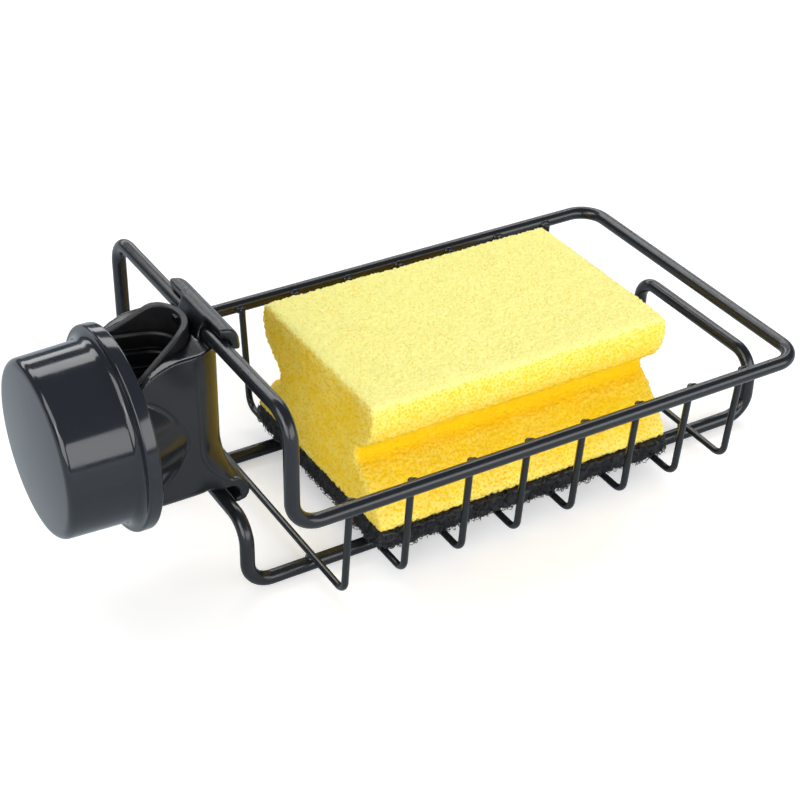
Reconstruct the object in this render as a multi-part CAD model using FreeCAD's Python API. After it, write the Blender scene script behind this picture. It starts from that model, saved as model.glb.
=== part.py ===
"""Tap-mounted sponge holder: a welded wire basket on a screw clamp, with its sponge.

Millimetres, +Z up. The origin is where the tap neck's vertical axis crosses the
knob's screw axis. +X runs from the clamp along the basket, the basket is even about Y = 0.
"""
import FreeCAD
import Part

import math
import os

Vector = FreeCAD.Vector
X_AXIS = Vector(1, 0, 0)
Y_AXIS = Vector(0, 1, 0)
Z_AXIS = Vector(0, 0, 1)

# Basket wire
RIM_WIRE_D = 4.0
FRAME_WIRE_D = 4.0
CROSS_WIRE_D = 2.0
WELD_GAP = 0.05

# Upper rim, centreline sizes
RIM_Z = -8.0
RIM_LENGTH = 164.4
RIM_WIDTH = 104.0
RIM_RISE = 32.9
RIM_BEND_R = 8.0

# Lower frame, centreline sizes
FRAME_SET_OUT_LEFT = 1.1
FRAME_SET_OUT_RIGHT = 4.8
FRAME_WIDTH = 54.7
FRAME_RISE = 20.0
FRAME_BEND_R = 7.0

# Cross wires
CROSS_COUNT = 8
CROSS_FIRST = 18.0
CROSS_LAST = 19.0
CROSS_DEPTH = 32.0
CROSS_LEAN = 3.0
CROSS_BEND_R = 4.0
CROSS_TIP_RISE = -0.1

# Sponge and its scouring pad
SPONGE_LENGTH = 97.0
SPONGE_FROM_RIM = 34.3
SPONGE_REST_GAP = 0.3
SPONGE_SIDE_ROOM = 7.45
PAD_THICKNESS = 5.0
PAD_CORNER_R = 3.0
FOAM_HEIGHT = 38.0
FOAM_PAD_INSET = 1.0
FOAM_BASE_RISE = 3.0
FOAM_WAIST_DEPTH = 14.5
FOAM_WAIST_RISE = 18.5
FOAM_WAIST_R = 3.5
FOAM_LIP_SET_IN = 4.5
FOAM_LIP_RISE = 31.5
FOAM_LIP_UNDERCUT = 6.0
FOAM_LIP_INSET = 2.5
FOAM_TOP_INSET = 0.8

# Clamp jaw, the U that the tap neck stands in
NECK_R = 9.0
JAW_FLARE_DEG = 15.0
LINER_WALL = 1.8
LINER_FIT = 0.1
LINER_END_GAP = 0.4
LINER_PROUD = 4.5
LINER_TOP_SLOPE_DEG = 31.8
LINER_CREST_R = 8.0
LINER_CREST_INSET = 2.7
LINER_FOOT_RISE = 2.95
GROOVE_DEPTH = 0.5
GROOVE_HEIGHT = 1.4
GROOVE_PITCH = 5.8

# Clamp body
BODY_SIDE_WALL = 4.1
BODY_BACK_SET_OUT = 2.1
BODY_BACK_CORNER_R = 11.0
BODY_TOP_BELOW_BAR = 0.7
BODY_TOP_EDGE_R = 0.8
BODY_BOTTOM_EDGE_R = 2.75
BODY_CROWN_X = 4.0
BODY_CROWN_R = 18.0
BODY_BELLY_X = 1.0
BODY_BELLY_RISE = 1.1
BODY_BELLY_R = 22.0
WIRE_SEAT_GAP = 0.2
SHOULDER_STEP = 2.6
SHOULDER_LENGTH = 12.2
ARM_WALL = 5.4
ARM_END_GAP = 2.3

# Hooks that hold the basket
TONGUE_WALL = 3.2
TONGUE_HALF_LENGTH = 15.6
TONGUE_END_R = 2.0
TONGUE_LEFT_DEG = 100.0
TONGUE_LIP_DEG = -20.0
STEM_HALF_WIDTH = 7.0
STEM_LINER_GAP = 0.2
STEM_THICKNESS = 1.0
LOWER_HOOK_ROOM = 1.2
LOWER_HOOK_OFFSET = 1.5
LOWER_HOOK_RISE = 0.75
LOWER_HOOK_WALL = 2.1
LOWER_HOOK_LIP_DROP = 2.2
LOWER_HOOK_BEND_R = 3.0
LOWER_HOOK_EAVE_DEG = 120.0
LOWER_HOOK_HEEL_DEG = 165.0
LOWER_HOOK_RIB_HALF = 8.0
LOWER_HOOK_CORNER_R = 1.2
FLARE_HEIGHT = 12.0
FLARE_CORNER_R = 2.5
FLARE_STEPS = 4

# Knob, a cap nut over the two threaded arms
KNOB_GAP = 0.6
KNOB_FLANGE_LIP = 3.4
KNOB_FLANGE_THICKNESS = 3.9
KNOB_FLANGE_EDGE_R = 0.7
KNOB_WALL = 5.4
KNOB_ROOT_FILLET = 1.8
KNOB_TAPER = 0.5
KNOB_LENGTH = 24.4
KNOB_FACE_FILLET = 2.2
KNOB_FACE_WALL = 3.8
KNOB_LEAD_IN = 0.8
THREAD_CLEARANCE = 0.3

# Pressure block that the knob pushes against the tap neck, and its rubber pad
BLOCK_HALF_HEIGHT = 11.0
BLOCK_SIDE_GAP = 0.4
BLOCK_CORNER_R = 2.0
BLOCK_PAD_HALF_WIDTH = 8.0
BLOCK_PAD_HALF_HEIGHT = 9.0
BLOCK_PAD_THICKNESS = 1.5
BLOCK_PAD_HOLLOW_R = 20.0
NECK_GAP = 0.4
SPIGOT_R = 3.4
SPIGOT_HEAD_R = 4.0
SPIGOT_NECK_LENGTH = 3.8
SPIGOT_HEAD_LENGTH = 2.6
SPIGOT_GAP = 0.35
SPIGOT_END_GAP = 1.2
BOSS_WALL = 2.6

# Places that follow from the sizes above
LINER_OUTER_R = NECK_R + LINER_WALL
STEM_X = LINER_OUTER_R + STEM_LINER_GAP
RIM_X = STEM_X + STEM_THICKNESS + WIRE_SEAT_GAP + RIM_WIRE_D / 2
RIM_HALF = RIM_WIDTH / 2
RIM_END_X = RIM_X + RIM_LENGTH
RIM_BAR_Z = RIM_Z + RIM_RISE
CROSS_PITCH = (RIM_LENGTH - CROSS_FIRST - CROSS_LAST) / (CROSS_COUNT - 1)
CROSS_RUN_Z = RIM_Z - CROSS_DEPTH
CROSS_TOP_HALF = RIM_HALF - (RIM_WIRE_D + CROSS_WIRE_D) / 2 - WELD_GAP
CROSS_BASE_HALF = CROSS_TOP_HALF - CROSS_LEAN
FRAME_Z = CROSS_RUN_Z - (FRAME_WIRE_D + CROSS_WIRE_D) / 2 - WELD_GAP
FRAME_BAR_Z = FRAME_Z + FRAME_RISE
FRAME_X = RIM_X - FRAME_SET_OUT_LEFT
FRAME_END_X = RIM_END_X + FRAME_SET_OUT_RIGHT
FRAME_HALF = FRAME_WIDTH / 2
SPONGE_Z = CROSS_RUN_Z + CROSS_WIRE_D / 2 + SPONGE_REST_GAP
SPONGE_X = RIM_X + SPONGE_FROM_RIM
PAD_HALF_WIDTH = CROSS_BASE_HALF - CROSS_WIRE_D / 2 - SPONGE_SIDE_ROOM
FOAM_BASE_HALF = PAD_HALF_WIDTH - FOAM_PAD_INSET
FOAM_WAIST_HALF = FOAM_BASE_HALF - FOAM_WAIST_DEPTH
FOAM_LIP_HALF = FOAM_BASE_HALF - FOAM_LIP_SET_IN
JAW_R = LINER_OUTER_R + LINER_FIT
KNOB_FLANGE_X = -(NECK_R + NECK_GAP)
SHOULDER_X = KNOB_FLANGE_X + KNOB_GAP
BODY_BACK_X = RIM_X + BODY_BACK_SET_OUT
BODY_TOP_Z = RIM_BAR_Z - BODY_TOP_BELOW_BAR
BODY_BOTTOM_Z = FRAME_BAR_Z + FRAME_WIRE_D / 2 + WIRE_SEAT_GAP
BODY_BELLY_Z = BODY_BOTTOM_Z + BODY_BELLY_RISE
LINER_TOP_Z = BODY_TOP_Z + LINER_PROUD
RIM_SEAT_R = RIM_WIRE_D / 2 + WIRE_SEAT_GAP
LOWER_HOOK_R = FRAME_WIRE_D / 2 + LOWER_HOOK_ROOM
LOWER_HOOK_X = FRAME_X + LOWER_HOOK_OFFSET
LOWER_HOOK_Z = FRAME_BAR_Z + LOWER_HOOK_RISE
LOWER_HOOK_TOP_Z = LOWER_HOOK_Z + LOWER_HOOK_R + LOWER_HOOK_WALL
LOWER_HOOK_END_X = LOWER_HOOK_X + LOWER_HOOK_R + LOWER_HOOK_WALL

# Working values: cutters reach past the whole part, fused pieces lap into each other
FAR = 400.0
LAP = 1.0
SAME_POINT = 1e-6


def half_width_at(radius, x):
    """Half-width at x of a U of that radius about the origin with flared arms."""
    flare = math.radians(JAW_FLARE_DEG)
    return (radius - x * math.sin(flare)) / math.cos(flare)


# Places that follow from the jaw's mouth
BODY_HALF_WIDTH = JAW_R + BODY_SIDE_WALL
ARM_INNER_HALF = half_width_at(JAW_R, SHOULDER_X)
THREAD_R = ARM_INNER_HALF + ARM_WALL
SHOULDER_R = THREAD_R + SHOULDER_STEP
KNOB_BORE_R = THREAD_R + THREAD_CLEARANCE
KNOB_ROOT_R = KNOB_BORE_R + KNOB_WALL
KNOB_NOSE_R = KNOB_ROOT_R - KNOB_TAPER
KNOB_FLANGE_R = KNOB_ROOT_R + KNOB_FLANGE_LIP
KNOB_FACE_X = KNOB_FLANGE_X - KNOB_LENGTH
KNOB_FLOOR_X = KNOB_FACE_X + KNOB_FACE_WALL
ARM_END_X = KNOB_FLOOR_X + ARM_END_GAP
BLOCK_HALF_WIDTH = ARM_INNER_HALF - BLOCK_SIDE_GAP
BLOCK_FRONT_X = -(NECK_R + NECK_GAP) - BLOCK_PAD_THICKNESS
SPIGOT_NECK_X = KNOB_FLOOR_X + SPIGOT_END_GAP + SPIGOT_HEAD_LENGTH
BLOCK_BACK_X = SPIGOT_NECK_X + SPIGOT_NECK_LENGTH


def arc(centre, radius, start_deg, end_deg):
    """An arc of an outline, as the pairs of its start, middle and end."""
    points = []
    for degrees in (start_deg, (start_deg + end_deg) / 2, end_deg):
        angle = math.radians(degrees)
        points.append((centre[0] + radius * math.cos(angle), centre[1] + radius * math.sin(angle)))
    return tuple(points)


def outline(steps, place):
    """A closed face from steps: a point starts or continues lines, a triple is an arc."""
    edges = []
    here = None
    first = None
    for step in steps:
        corners = [place(*pair) for pair in (step if isinstance(step[0], tuple) else (step,))]
        if here is None:
            first = corners[0]
        elif (corners[0] - here).Length > SAME_POINT:
            edges.append(Part.makeLine(here, corners[0]))
        if len(corners) == 3:
            edges.append(Part.Arc(*corners).toShape())
        here = corners[-1]
    if (first - here).Length > SAME_POINT:
        edges.append(Part.makeLine(here, first))
    return Part.Face(Part.Wire(edges))


def side_prism(steps, half_width):
    """A profile in the XZ plane, pushed out to half_width each side of Y = 0."""
    face = outline(steps, lambda x, z: Vector(x, -half_width, z))
    return face.extrude(Vector(0, 2 * half_width, 0))


def rounded_box(low, high, radius, axis):
    """A box whose four edges along the axis are rounded."""
    box = Part.makeBox(*(high - low), low)
    along = [edge for edge in box.Edges if abs(edge.tangentAt(edge.FirstParameter).dot(axis)) > 0.99]
    return box.makeFillet(radius, along)


def bent_wire(points, bend_r, diameter, closed):
    """A round wire along straight runs that are joined by bends of one radius."""
    count = len(points)
    bends = []
    for index, corner in enumerate(points):
        if not closed and index in (0, count - 1):
            bends.append((corner, corner))
            continue
        before = (points[index - 1] - corner).normalize()
        after = (points[(index + 1) % count] - corner).normalize()
        half_turn = (math.pi - before.getAngle(after)) / 2
        reach = bend_r * math.tan(half_turn)
        bends.append((corner + before * reach, corner + after * reach))
    pieces = []
    for index in range(count if closed else count - 1):
        start = bends[index][1]
        run = bends[(index + 1) % count][0] - start
        pieces.append(Part.makeCylinder(diameter / 2, run.Length, start, run))
    for corner, (entry, leave) in zip(points, bends):
        if (leave - entry).Length < SAME_POINT:
            continue
        inward = (entry - corner).normalize() + (leave - corner).normalize()
        before = (corner - entry).normalize()
        after = (leave - corner).normalize()
        turn = before.getAngle(after)
        centre = corner + inward.normalize() * (bend_r / math.cos(turn / 2))
        ring = Part.Face(Part.Wire(Part.makeCircle(diameter / 2, entry, before)))
        pieces.append(ring.revolve(centre, before.cross(after), math.degrees(turn)))
    return pieces[0].multiFuse(pieces[1:]).removeSplitter()


def upper_rim():
    """The heavy closed loop round the top, with its left end raised to the clamp."""
    corners = [
        Vector(RIM_X, -RIM_HALF, RIM_Z),
        Vector(RIM_X, -RIM_HALF, RIM_BAR_Z),
        Vector(RIM_X, RIM_HALF, RIM_BAR_Z),
        Vector(RIM_X, RIM_HALF, RIM_Z),
        Vector(RIM_END_X, RIM_HALF, RIM_Z),
        Vector(RIM_END_X, -RIM_HALF, RIM_Z),
    ]
    return bent_wire(corners, RIM_BEND_R, RIM_WIRE_D, closed=True)


def lower_frame():
    """The heavy closed loop that carries the floor, with both ends raised."""
    corners = []
    for x, side in ((FRAME_X, 1), (FRAME_END_X, -1)):
        corners += [
            Vector(x, -side * FRAME_HALF, FRAME_Z),
            Vector(x, -side * FRAME_HALF, FRAME_BAR_Z),
            Vector(x, side * FRAME_HALF, FRAME_BAR_Z),
            Vector(x, side * FRAME_HALF, FRAME_Z),
        ]
    return bent_wire(corners, FRAME_BEND_R, FRAME_WIRE_D, closed=True)


def cross_wire(x):
    """One thin U of the floor, welded inside the rim and on top of the lower frame."""
    tip_z = RIM_Z + CROSS_TIP_RISE
    corners = [
        Vector(x, -CROSS_TOP_HALF, tip_z),
        Vector(x, -CROSS_TOP_HALF, RIM_Z - RIM_WIRE_D / 2),
        Vector(x, -CROSS_BASE_HALF, CROSS_RUN_Z),
        Vector(x, CROSS_BASE_HALF, CROSS_RUN_Z),
        Vector(x, CROSS_TOP_HALF, RIM_Z - RIM_WIRE_D / 2),
        Vector(x, CROSS_TOP_HALF, tip_z),
    ]
    wire = bent_wire(corners, CROSS_BEND_R, CROSS_WIRE_D, closed=False)
    tips = [Part.makeSphere(CROSS_WIRE_D / 2, corner) for corner in (corners[0], corners[-1])]
    return wire.multiFuse(tips).removeSplitter()


def jaw_prism(radius, end_x, low, high):
    """The U-shaped space of that radius, flared to the shoulder and straight beyond it."""
    flare = math.radians(JAW_FLARE_DEG)
    touch = (radius * math.sin(flare), radius * math.cos(flare))
    mouth = half_width_at(radius, SHOULDER_X)
    steps = [(end_x, -mouth), (SHOULDER_X, -mouth)]
    steps.append(((touch[0], -touch[1]), (radius, 0.0), touch))
    steps += [(SHOULDER_X, mouth), (end_x, mouth)]
    return outline(steps, lambda x, y: Vector(x, y, low)).extrude(Vector(0, 0, high - low))


def crossing(centre, radius, x, side):
    """The angle at which a circle's upper (+1) or lower (-1) half passes x."""
    return side * math.degrees(math.acos((x - centre[0]) / radius))


def belly(start_x, end_x):
    """The body's bowed underside between two places along X."""
    centre = (BODY_BELLY_X, BODY_BELLY_Z + BODY_BELLY_R)
    angles = [crossing(centre, BODY_BELLY_R, x, -1) for x in (start_x, end_x)]
    return arc(centre, BODY_BELLY_R, *angles)


def body_plan(back_x, corner_r, z):
    """The body's plan outline at a height, round-cornered at the back."""
    half = BODY_HALF_WIDTH
    steps = [
        (SHOULDER_X, -half),
        arc((back_x - corner_r, -half + corner_r), corner_r, -90.0, 0.0),
        arc((back_x - corner_r, half - corner_r), corner_r, 0.0, 90.0),
        (SHOULDER_X, half),
    ]
    return outline(steps, lambda x, y: Vector(x, y, z))


def body_block():
    """The block behind the jaw: flat sides, a round back, a crowned top and a bowed underside."""
    crown_centre = (BODY_CROWN_X, BODY_TOP_Z - BODY_CROWN_R)
    crown = arc(crown_centre, BODY_CROWN_R, 90.0, crossing(crown_centre, BODY_CROWN_R, SHOULDER_X, 1))
    steps = [belly(SHOULDER_X, BODY_BACK_X), (BODY_BACK_X, BODY_TOP_Z), crown]
    block = side_prism(steps, BODY_HALF_WIDTH)
    plan = body_plan(BODY_BACK_X, BODY_BACK_CORNER_R, -FAR).extrude(Vector(0, 0, 2 * FAR))
    half, low, top = BODY_HALF_WIDTH, BODY_BELLY_Z, BODY_TOP_Z
    foot, brow = BODY_BOTTOM_EDGE_R, BODY_TOP_EDGE_R
    section = [
        arc((-half + foot, low + foot), foot, 180.0, 270.0),
        arc((half - foot, low + foot), foot, 270.0, 360.0),
        arc((half - brow, top - brow), brow, 0.0, 90.0),
        arc((-half + brow, top - brow), brow, 90.0, 180.0),
    ]
    end = outline(section, lambda y, z: Vector(-FAR, y, z)).extrude(Vector(2 * FAR, 0, 0))
    seat = Part.makeCylinder(RIM_SEAT_R, FAR, Vector(RIM_X, -FAR / 2, RIM_BAR_Z), Y_AXIS)
    behind = Part.makeBox(FAR, FAR, FAR, Vector(RIM_X, -FAR / 2, RIM_BAR_Z - RIM_SEAT_R))
    return block.common(plan).common(end).cut(seat).cut(behind)


def upper_hook():
    """The stem and the long crowned tongue that hold the rim's raised bar."""
    centre = (RIM_X, RIM_BAR_Z)
    outer = RIM_SEAT_R + TONGUE_WALL
    over = arc(centre, outer, TONGUE_LEFT_DEG, TONGUE_LIP_DEG)
    under = arc(centre, RIM_SEAT_R, TONGUE_LIP_DEG, TONGUE_LEFT_DEG)
    tongue = side_prism([over, under], TONGUE_HALF_LENGTH)
    plan = rounded_box(
        Vector(RIM_X - outer, -TONGUE_HALF_LENGTH, RIM_BAR_Z - outer),
        Vector(RIM_X + outer, TONGUE_HALF_LENGTH, RIM_BAR_Z + outer),
        TONGUE_END_R,
        Z_AXIS,
    )
    stem = side_prism(
        [
            (STEM_X, BODY_TOP_Z - LAP),
            (STEM_X, RIM_BAR_Z),
            over[0],
            (RIM_X, RIM_BAR_Z + outer),
            (RIM_X, BODY_TOP_Z - LAP),
        ],
        STEM_HALF_WIDTH,
    )
    bar = Part.makeCylinder(RIM_SEAT_R, FAR, Vector(RIM_X, -FAR / 2, RIM_BAR_Z), Y_AXIS)
    return tongue.common(plan).fuse(stem.cut(bar))


def flare():
    """The skirt that spreads the body's round back into the lower hook's straight lip."""
    flat_x = LOWER_HOOK_END_X - LOWER_HOOK_BEND_R
    sections = []
    for step in range(FLARE_STEPS):
        share = step / (FLARE_STEPS - 1)
        spread = share ** 2
        section = body_plan(
            BODY_BACK_X + (flat_x - BODY_BACK_X) * spread,
            BODY_BACK_CORNER_R + (FLARE_CORNER_R - BODY_BACK_CORNER_R) * spread,
            LOWER_HOOK_TOP_Z + FLARE_HEIGHT * (1 - share),
        )
        sections.append(section.OuterWire)
    return Part.makeLoft(sections, True, False)


def lower_hook():
    """The lip that bends down behind the lower frame's raised bar, and the rib on the bar."""
    centre = (LOWER_HOOK_X, LOWER_HOOK_Z)
    bend_centre = (LOWER_HOOK_END_X - LOWER_HOOK_BEND_R, LOWER_HOOK_TOP_Z - LOWER_HOOK_BEND_R)
    lip_z = LOWER_HOOK_Z - LOWER_HOOK_LIP_DROP
    root_x = BODY_BACK_X - BODY_BACK_CORNER_R
    eave_x = LOWER_HOOK_X - LOWER_HOOK_R - LOWER_HOOK_WALL
    heel = arc(centre, LOWER_HOOK_R, LOWER_HOOK_EAVE_DEG, LOWER_HOOK_HEEL_DEG)
    steps = [
        (root_x, LOWER_HOOK_TOP_Z),
        arc(bend_centre, LOWER_HOOK_BEND_R, 90.0, 0.0),
        (LOWER_HOOK_END_X, lip_z),
        (LOWER_HOOK_END_X - LOWER_HOOK_WALL, lip_z),
        arc(centre, LOWER_HOOK_R, 0.0, LOWER_HOOK_EAVE_DEG),
        belly(eave_x, eave_x + LAP)[0],
    ]
    plan = rounded_box(
        Vector(root_x - FAR, -BODY_HALF_WIDTH, -FAR),
        Vector(LOWER_HOOK_END_X, BODY_HALF_WIDTH, FAR),
        LOWER_HOOK_CORNER_R,
        Z_AXIS,
    )
    lip = side_prism(steps, BODY_HALF_WIDTH).common(plan)
    rib_top = (heel[0][0], LOWER_HOOK_TOP_Z)
    rib_steps = [(root_x, LOWER_HOOK_TOP_Z), rib_top, heel, belly(root_x, root_x + LAP)[0]]
    return lip.fuse(side_prism(rib_steps, LOWER_HOOK_RIB_HALF))


def clamp_body():
    """The moulded U with threaded arms at the knob and two hooks at the basket."""
    shoulder = Part.makeCone(
        SHOULDER_R, BODY_HALF_WIDTH, SHOULDER_LENGTH, Vector(SHOULDER_X, 0, 0), X_AXIS
    )
    arm_length = SHOULDER_X - ARM_END_X
    arms = Part.makeCylinder(THREAD_R, arm_length + LAP, Vector(ARM_END_X, 0, 0), X_AXIS)
    body = body_block().multiFuse([shoulder, arms, flare(), upper_hook(), lower_hook()])
    jaw = jaw_prism(JAW_R, ARM_END_X - LAP, -FAR, FAR)
    return body.cut(jaw).removeSplitter()


def jaw_liner():
    """The grooved rubber lining of the jaw, proud of the body where its top rises at the back."""
    end_x = SHOULDER_X + LINER_END_GAP
    foot_z = BODY_BOTTOM_Z + LINER_FOOT_RISE
    lining = jaw_prism(LINER_OUTER_R, SHOULDER_X, foot_z, FAR)
    lining = lining.cut(jaw_prism(NECK_R, SHOULDER_X - LAP, -FAR, FAR))
    crest = arc(
        (LINER_OUTER_R - LINER_CREST_INSET, LINER_TOP_Z - LINER_CREST_R),
        LINER_CREST_R,
        90.0,
        90.0 + LINER_TOP_SLOPE_DEG,
    )
    slope_x, slope_z = crest[-1]
    end_top = slope_z - (slope_x - end_x) * math.tan(math.radians(LINER_TOP_SLOPE_DEG))
    side = side_prism(
        [
            (end_x, foot_z),
            (LINER_OUTER_R + LAP, foot_z),
            (LINER_OUTER_R + LAP, LINER_TOP_Z),
            crest,
            (end_x, end_top),
        ],
        FAR,
    )
    lining = lining.common(side)
    count = int((end_top - foot_z) / GROOVE_PITCH)
    for index in range(count):
        low = foot_z + (index + 0.5) * GROOVE_PITCH
        groove = jaw_prism(NECK_R + GROOVE_DEPTH, SHOULDER_X - LAP, low, low + GROOVE_HEIGHT)
        lining = lining.cut(groove)
    return lining


def turned_about_x(steps):
    """A solid of revolution about the knob's axis from (x, radius) steps."""
    return outline(steps, lambda x, r: Vector(x, 0, r)).revolve(Vector(0, 0, 0), X_AXIS, 360)


def knob():
    """The cap nut: a tapered grip with a flange, a bore over the arms and a push-fit socket."""
    flange_left = KNOB_FLANGE_X - KNOB_FLANGE_THICKNESS
    root_x = flange_left - KNOB_ROOT_FILLET
    face_x = KNOB_FACE_X + KNOB_FACE_FILLET
    socket_mouth_x = BLOCK_BACK_X - SPIGOT_GAP
    socket_step_x = SPIGOT_NECK_X + SPIGOT_GAP
    socket_r = SPIGOT_HEAD_R + SPIGOT_GAP
    mouth_r = SPIGOT_R + SPIGOT_GAP
    edge = KNOB_FLANGE_EDGE_R
    root = arc((root_x, KNOB_ROOT_R + KNOB_ROOT_FILLET), KNOB_ROOT_FILLET, 0.0, -90.0)
    nose = arc((face_x, KNOB_NOSE_R - KNOB_FACE_FILLET), KNOB_FACE_FILLET, 90.0, 180.0)
    rim_left = arc((flange_left + edge, KNOB_FLANGE_R - edge), edge, 90.0, 180.0)
    rim_right = arc((KNOB_FLANGE_X - edge, KNOB_FLANGE_R - edge), edge, 0.0, 90.0)
    return turned_about_x(
        [
            (KNOB_FLANGE_X, KNOB_BORE_R + KNOB_LEAD_IN),
            rim_right,
            rim_left,
            root,
            nose,
            (KNOB_FACE_X, 0.0),
            (KNOB_FLOOR_X, 0.0),
            (KNOB_FLOOR_X, socket_r),
            (socket_step_x, socket_r),
            (socket_step_x, mouth_r),
            (socket_mouth_x, mouth_r),
            (socket_mouth_x, socket_r + BOSS_WALL),
            (KNOB_FLOOR_X, socket_r + BOSS_WALL),
            (KNOB_FLOOR_X, KNOB_BORE_R),
            (KNOB_FLANGE_X - KNOB_LEAD_IN, KNOB_BORE_R),
        ]
    )


def pressure_block():
    """The block that slides between the arms, with the spigot that is pushed into the knob."""
    block = rounded_box(
        Vector(BLOCK_BACK_X, -BLOCK_HALF_WIDTH, -BLOCK_HALF_HEIGHT),
        Vector(BLOCK_FRONT_X, BLOCK_HALF_WIDTH, BLOCK_HALF_HEIGHT),
        BLOCK_CORNER_R,
        X_AXIS,
    )
    head_x = SPIGOT_NECK_X - SPIGOT_HEAD_LENGTH
    spigot = turned_about_x(
        [
            (BLOCK_BACK_X + LAP, 0.0),
            (BLOCK_BACK_X + LAP, SPIGOT_R),
            (SPIGOT_NECK_X, SPIGOT_R),
            (SPIGOT_NECK_X, SPIGOT_HEAD_R),
            (head_x, SPIGOT_R),
            (head_x, 0.0),
        ]
    )
    return block.fuse(spigot).removeSplitter()


def pressure_pad():
    """The hollowed rubber face on the pressure block."""
    pad = rounded_box(
        Vector(BLOCK_FRONT_X, -BLOCK_PAD_HALF_WIDTH, -BLOCK_PAD_HALF_HEIGHT),
        Vector(BLOCK_FRONT_X + BLOCK_PAD_HOLLOW_R, BLOCK_PAD_HALF_WIDTH, BLOCK_PAD_HALF_HEIGHT),
        BLOCK_CORNER_R,
        X_AXIS,
    )
    hollow_x = BLOCK_FRONT_X + BLOCK_PAD_THICKNESS + BLOCK_PAD_HOLLOW_R
    hollow = Part.makeCylinder(BLOCK_PAD_HOLLOW_R, FAR, Vector(hollow_x, 0, -FAR / 2), Z_AXIS)
    return pad.cut(hollow)


def sponge_foam():
    """The foam block with a grip groove along both long sides."""
    base = SPONGE_Z + PAD_THICKNESS
    top = base + FOAM_HEIGHT
    lip_low = base + FOAM_LIP_RISE - FOAM_LIP_UNDERCUT
    waist = base + FOAM_WAIST_RISE
    waist_out = FOAM_WAIST_HALF + FOAM_WAIST_R
    lip_in = FOAM_LIP_HALF - FOAM_TOP_INSET
    right = [
        (FOAM_BASE_HALF, base),
        (FOAM_BASE_HALF, base + FOAM_BASE_RISE),
        ((waist_out, waist - FOAM_WAIST_R), (FOAM_WAIST_HALF, waist), (waist_out, waist + FOAM_WAIST_R)),
        ((FOAM_LIP_HALF - FOAM_LIP_INSET, lip_low), (FOAM_LIP_HALF, base + FOAM_LIP_RISE), (lip_in, top)),
    ]
    left = []
    for step in reversed(right):
        if isinstance(step[0], tuple):
            left.append(tuple((-y, z) for y, z in reversed(step)))
        else:
            left.append((-step[0], step[1]))
    face = outline(right + left, lambda y, z: Vector(SPONGE_X, y, z))
    return face.extrude(Vector(SPONGE_LENGTH, 0, 0))


def scouring_pad():
    """The flat scouring layer under the foam."""
    return rounded_box(
        Vector(SPONGE_X, -PAD_HALF_WIDTH, SPONGE_Z),
        Vector(SPONGE_X + SPONGE_LENGTH, PAD_HALF_WIDTH, SPONGE_Z + PAD_THICKNESS),
        PAD_CORNER_R,
        Z_AXIS,
    )


def build():
    """Every named piece of the holder."""
    pieces = {
        "upper_rim_wire": upper_rim(),
        "lower_frame_wire": lower_frame(),
        "clamp_body": clamp_body(),
        "jaw_liner": jaw_liner(),
        "knob": knob(),
        "pressure_block": pressure_block(),
        "pressure_pad": pressure_pad(),
        "sponge_foam": sponge_foam(),
        "scouring_pad": scouring_pad(),
    }
    for index in range(CROSS_COUNT):
        x = RIM_X + CROSS_FIRST + index * CROSS_PITCH
        pieces[f"cross_wire_{index + 1}"] = cross_wire(x)
    return pieces


os.makedirs("parts", exist_ok=True)
for name, shape in build().items():
    print(f"{name}: {len(shape.Solids)} solid, {shape.Volume:.0f} mm3, valid {shape.isValid()}")
    shape.exportStep(f"parts/{name}.step")
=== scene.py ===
"""Looks of the tap-mounted sponge holder: wires, clamp, knob, sponge, studio and camera."""
import logging
import math
from dataclasses import dataclass
from enum import Enum
from functools import cached_property
from typing import Any, Iterable

import bmesh
import bpy
import numpy as np
from mathutils import Matrix, Vector


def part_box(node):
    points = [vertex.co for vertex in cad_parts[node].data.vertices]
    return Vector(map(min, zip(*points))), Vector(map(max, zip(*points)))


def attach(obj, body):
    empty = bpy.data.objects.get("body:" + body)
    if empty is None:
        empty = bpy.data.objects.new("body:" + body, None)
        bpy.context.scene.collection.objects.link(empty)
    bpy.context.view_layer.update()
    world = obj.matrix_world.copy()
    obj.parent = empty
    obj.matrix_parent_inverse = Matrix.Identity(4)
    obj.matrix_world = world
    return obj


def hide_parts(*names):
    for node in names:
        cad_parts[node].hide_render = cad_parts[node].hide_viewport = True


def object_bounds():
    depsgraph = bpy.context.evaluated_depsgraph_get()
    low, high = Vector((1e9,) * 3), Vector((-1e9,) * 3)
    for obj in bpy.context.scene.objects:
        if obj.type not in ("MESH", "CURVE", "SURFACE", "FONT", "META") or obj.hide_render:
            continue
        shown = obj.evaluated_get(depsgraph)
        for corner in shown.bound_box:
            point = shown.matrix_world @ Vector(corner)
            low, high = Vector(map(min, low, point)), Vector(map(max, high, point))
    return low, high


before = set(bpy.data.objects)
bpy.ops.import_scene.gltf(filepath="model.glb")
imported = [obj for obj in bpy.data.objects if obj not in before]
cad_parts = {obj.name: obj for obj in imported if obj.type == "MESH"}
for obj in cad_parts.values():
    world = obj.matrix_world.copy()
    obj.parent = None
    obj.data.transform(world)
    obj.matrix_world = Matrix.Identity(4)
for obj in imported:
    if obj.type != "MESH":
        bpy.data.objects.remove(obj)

CAD_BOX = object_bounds()
MM = 0.001
PHOTO_WIDTH_PX = 800
WHITE = (1.0, 1.0, 1.0)
MERGE_REACH = 0.002 * MM
EASE_STEP = 0.5

# Most of a noise lies in this span, about this middle.
NOISE_SPAN = (0.3, 0.7)
MIDDLE = 0.5
BOTH_WAYS = (-1.0, 1.0)

log = logging.getLogger("sponge_holder")

Colour = tuple[float, float, float]
Triple = tuple[float, float, float]
Pair = tuple[float, float]
Finish = bpy.types.Material
Piece = bpy.types.Object
Socket = bpy.types.NodeSocket


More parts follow.
